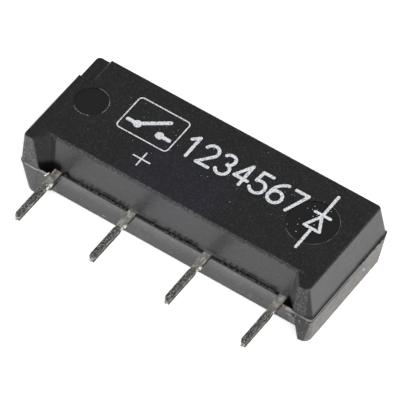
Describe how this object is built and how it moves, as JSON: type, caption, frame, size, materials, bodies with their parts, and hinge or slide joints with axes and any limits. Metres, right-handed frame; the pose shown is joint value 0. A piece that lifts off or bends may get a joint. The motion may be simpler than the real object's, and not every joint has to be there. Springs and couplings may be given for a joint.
{
  "type": "reed relay",
  "caption": "Single in-line reed relay: a black moulded body with feet and a row of flat leads, holding a glass reed switch in a wound bobbin with a diode across the coil.",
  "frame": {"origin": "under the middle of the whole outline, on the flat back that the relay lies on", "axes": "+X along the row of leads towards the last lead; +Z out of the printed face; the leads point to -Y"},
  "size_m": [0.0198, 0.011, 0.005],
  "materials": {
    "black_resin": "fine matt grain from the mould, near black",
    "tinned_lead": "dull dipped tin over sheet metal",
    "capsule_glass": "pale green fused glass",
    "reed_metal": "drawn and pressed nickel-iron, satin",
    "bobbin_plastic": "natural glass-filled polyester",
    "enamelled_wire": "clear enamel over copper",
    "diode_resin": "fine matt black resin",
    "solder": "satin tin solder"
  },
  "bodies": {
    "housing": {"moulded_body": "black_resin", "pin_1": "tinned_lead", "pin_3": "tinned_lead", "pin_5": "tinned_lead", "pin_7": "tinned_lead", "reed_glass": "capsule_glass", "bobbin": "bobbin_plastic", "coil_winding": "enamelled_wire", "diode_case": "diode_resin", "diode_cathode_lead": "tinned_lead", "diode_anode_lead": "tinned_lead", "solder_joints": "solder"},
    "left_reed": {"reed_blade_left": "reed_metal"},
    "right_reed": {"reed_blade_right": "reed_metal"}
  },
  "joints": [
    {"name": "left_reed_bend", "type": "hinge", "parent": "housing", "child": "left_reed", "pos_m": [-0.0047, 0.00234, 0.0028], "axis": [0, 1, 0], "range_deg": [0, 0.46], "stiffness_Nm_per_rad": 0.0001},
    {"name": "right_reed_bend", "type": "hinge", "parent": "housing", "child": "right_reed", "pos_m": [0.0047, 0.00234, 0.0028], "axis": [0, 1, 0], "range_deg": [0, 0.46], "stiffness_Nm_per_rad": 0.0001}
  ],
  "couplings": [
    {"joint": "right_reed_bend", "follows": "left_reed_bend", "ratio": 1}
  ]
}
